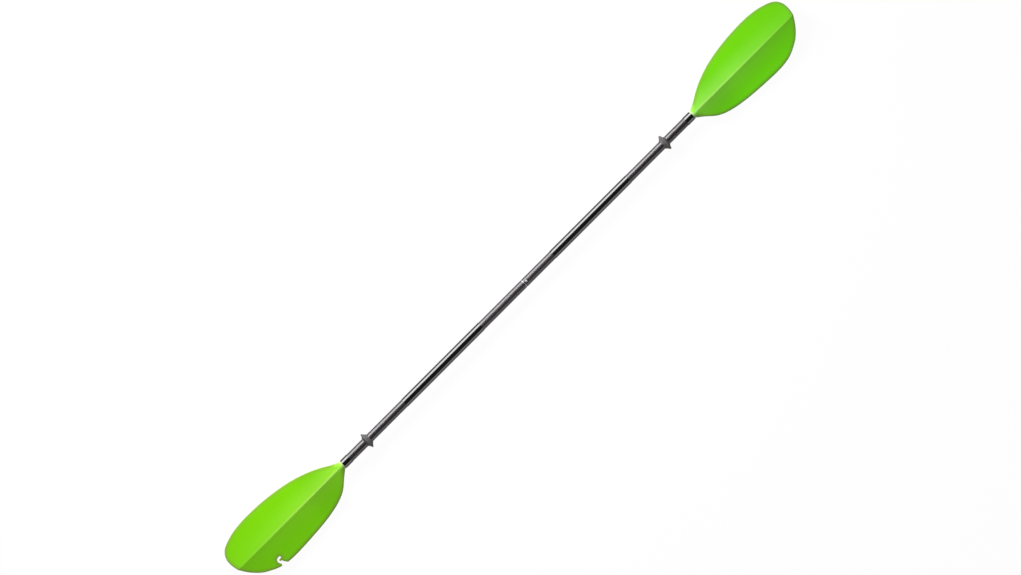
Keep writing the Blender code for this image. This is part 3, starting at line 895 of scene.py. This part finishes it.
def clipLine(low, high):
    # the strip's middle from the side as (x, height over the shaft's axis)
    strip, bend, cuts = clip["strip"], clip["bend"], clip["bendCuts"]
    level = high.z - axisZ - strip / 2
    bendX, flatX = low.x + strip / 2 + bend, buttonX - clip["tail"]
    slope = math.atan2(level - bend, flatX - bendX)
    turns = [math.pi / 2 + slope + (math.pi - 2 * slope) * i / cuts for i in range(cuts + 1)]
    arc = [(bendX + bend * math.cos(turn), bend * math.sin(turn)) for turn in turns]
    leaf = [
        tuple(a + (b - a) * i / clip["leafCuts"] for a, b in zip((flatX, level), arc[0]))
        for i in range(clip["leafCuts"])
    ]
    tail = [(buttonX + clip["tail"], level - strip), (buttonX + clip["tail"] * 0.75, level)]
    under = [(x, -z) for x, z in reversed(leaf)]
    return level, tail + leaf + arc + under + [(buttonX, -level)]


def makeClip():
    low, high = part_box("snap_clip")
    level, line = clipLine(low, high)
    piece = drawLine([Vector((x, -clip["width"] / 2, axisZ + z)) for x, z in line])
    piece.name = piece.data.name = "clipPiece"
    extrudeBy(0, clip["width"], 0)
    objectMode()
    applyModifier(piece, "SOLIDIFY", thickness=clip["strip"], offset=0.0, use_even_offset=True)
    deselectAll()
    bpy.ops.mesh.primitive_cylinder_add(
        vertices=button["sides"], radius=clip["rivetHole"], depth=clip["drill"],
        location=(buttonX, 0, axisZ + level),
    )
    drill = bpy.context.object
    applyPlace()
    cutAway(piece, drill)
    roundEdges(piece, clip["edge"], 2, 60)
    dress(piece, None, "clip_steel", clipSteel, "snap_clip")
    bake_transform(piece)


makeClip()
print("clip made")


# Drip rings: a hub that grips the tube and a flared lip with a hollow behind it
ring = {
    "lip": 0.0274, "bore": 0.01455, "hub": 0.01655, "lipWidth": 0.0022,
    "inner": 0.0115, "outer": 0.0075, "sides": 128, "bevel": 0.0007,
    "hollow": 0.72, "slope": 0.84,  # their lengths over the outer and the inner length
    "rise": 0.97,  # how far up the lip its round edge starts
    "cuts": 13, "lipCuts": 6,
}


def makeRing(name, node, body, towardsMiddle):
    # towardsMiddle is +1 where the long slope faces +X, and -1 where it faces -X
    low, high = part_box(node)
    inner, outer, bevel = ring["inner"], ring["outer"], ring["bevel"]
    lipX = high.x - inner if towardsMiddle > 0 else low.x + inner
    hub, lip, half = ring["hub"], ring["lip"], ring["lipWidth"] / 2
    hollow, slope = outer * ring["hollow"] - half, inner * ring["slope"] - half
    rise = lip - hub
    outline = [(-outer, hub - bevel), (-outer + bevel, hub)]
    for i in range(1, ring["cuts"]):
        share = i / ring["cuts"]
        outline.append((-half - hollow * (1 - share), hub + rise * share ** 1.1 * ring["rise"]))
    for i in range(ring["lipCuts"] + 1):
        angle = math.pi * (1 - i / ring["lipCuts"])
        outline.append((half * math.cos(angle), lip - half + half * math.sin(angle)))
    for i in range(1, ring["cuts"]):
        share = 1 - i / ring["cuts"]
        outline.append((half + slope * (1 - share), hub + rise * share * ring["rise"]))
    outline += [(inner - bevel, hub), (inner, hub - bevel), (inner, ring["bore"])]
    outline.append((-outer, ring["bore"]))
    stations = [(lipX + towardsMiddle * x, radius) for x, radius in outline]
    piece = turnPiece(name, [*stations, stations[0]], ring["sides"])
    activate(piece)
    bpy.ops.object.shade_smooth_by_angle(angle=math.radians(50))
    dress(piece, body, "ring_rubber", ringRubber, node)


makeRing("maleRingPiece", "male_drip_ring", "male_ring", 1)
makeRing("femaleRingPiece", "female_drip_ring", "female_ring", -1)
print("rings made")


# The float plug keeps its node's shape
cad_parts["float_plug"].material_slots[0].material = plugFoam


# Floor and light
light = {
    # each lamp: degrees from straight up towards +Y, distance, watts, length along X and width
    "key": (64.0, 1.85, 83.0, (1.0, 1.2)),
    "gloss": (60.0, 2.3, 390.0, (4.0, 1.9)),
    "edge": (-70.0, 2.3, 36.0, (3.2, 1.4)),
    "fill": 0.25,  # how bright the sky is to what it lights
    "zenith": 0.12,  # how bright the sky straight above is in reflections
    "floorGlow": 0.92,  # the share of the floor that is plain white; the rest takes the shadow
    "floorWhite": 1.04,
    "floorSize": 60,
    "floorGap": 0.0002,  # under the lowest point, so that no faces share a plane
}


def seenDirectly(tree, path):
    # 1 for what the camera sees, also in a mirror or through glass
    seen = path.outputs["Is Camera Ray"]
    for ray in ("Is Glossy Ray", "Is Transmission Ray"):
        seen = addNode(
            tree, "ShaderNodeMath", links={0: seen, 1: path.outputs[ray]}, operation="MAXIMUM"
        ).outputs[0]
    return seen


def makeFloor():
    deselectAll()
    bpy.ops.mesh.primitive_plane_add(size=light["floorSize"], location=(0, 0, -light["floorGap"]))
    floor = bpy.context.object
    floor.name = "floor"
    applyPlace()
    material = bpy.data.materials.new("whiteFloor")
    material.use_nodes = True
    tree = material.node_tree
    tree.nodes.clear()
    path = addNode(tree, "ShaderNodeLightPath")
    share = addNode(
        tree, "ShaderNodeMath", {1: light["floorGlow"]}, {0: seenDirectly(tree, path)},
        operation="MULTIPLY",
    )
    paint = addNode(tree, "ShaderNodeBsdfDiffuse", {"Color": (0.8, 0.8, 0.8, 1)})
    glow = addNode(
        tree, "ShaderNodeEmission", {"Color": (1, 1, 1, 1), "Strength": light["floorWhite"]}
    )
    both = addNode(
        tree, "ShaderNodeMixShader",
        links={0: share.outputs[0], 1: paint.outputs[0], 2: glow.outputs[0]},
    )
    addNode(tree, "ShaderNodeOutputMaterial", links={"Surface": both.outputs[0]})
    floor.data.materials.append(material)


def addLamp(name, lights):
    # the key lamp lights the colours, and the others are long panels that only the gloss of
    # the shaft shows, so that the blades have no glare
    angle, distance, power, size = light[name]
    turn = math.radians(angle)
    place = (0, distance * math.sin(turn), axisZ + distance * math.cos(turn))
    bpy.ops.object.light_add(type="AREA", location=place, rotation=(-turn, 0, 0))
    lamp = bpy.context.object
    lamp.name = name + "Lamp"
    lamp.data.shape = "RECTANGLE"
    lamp.data.size, lamp.data.size_y = size
    lamp.data.energy = power
    lamp.visible_camera = False
    lamp.visible_diffuse = lights == "colour"
    lamp.visible_glossy = lights == "gloss"
    if lights == "gloss":
        lamp.light_linking.receiver_collection = shaftPieces


def makeWorld():
    world = bpy.data.worlds.new("studio")
    bpy.context.scene.world = world
    world.use_nodes = True
    tree = world.node_tree
    tree.nodes.clear()
    path = addNode(tree, "ShaderNodeLightPath")
    # reflections see a studio with white walls and a dark ceiling
    direction = addNode(tree, "ShaderNodeTexCoord").outputs["Generated"]
    height = addNode(tree, "ShaderNodeSeparateXYZ", links={0: direction}).outputs["Z"]
    ceiling = addNode(
        tree, "ShaderNodeMapRange",
        {"From Min": 0.15, "From Max": 0.8, "To Min": 1.0, "To Max": light["zenith"]},
        {"Value": height}, interpolation_type="SMOOTHSTEP",
    )
    shown = addNode(
        tree, "ShaderNodeMix", {3: 1.0},
        {0: path.outputs["Is Camera Ray"], 2: ceiling.outputs["Result"]},
    )
    level = addNode(
        tree, "ShaderNodeMix", {2: light["fill"]},
        {0: seenDirectly(tree, path), 3: shown.outputs[0]},
    )
    sky = addNode(
        tree, "ShaderNodeBackground", {"Color": (1, 1, 1, 1)}, {"Strength": level.outputs[0]}
    )
    addNode(tree, "ShaderNodeOutputWorld", links={"Surface": sky.outputs[0]})


makeFloor()
makeWorld()
for name, lights in (("key", "colour"), ("gloss", "gloss"), ("edge", "gloss")):
    addLamp(name, lights)
placeCamera()
bpy.context.scene.view_settings.view_transform = "Standard"
print("floor, light and camera placed")
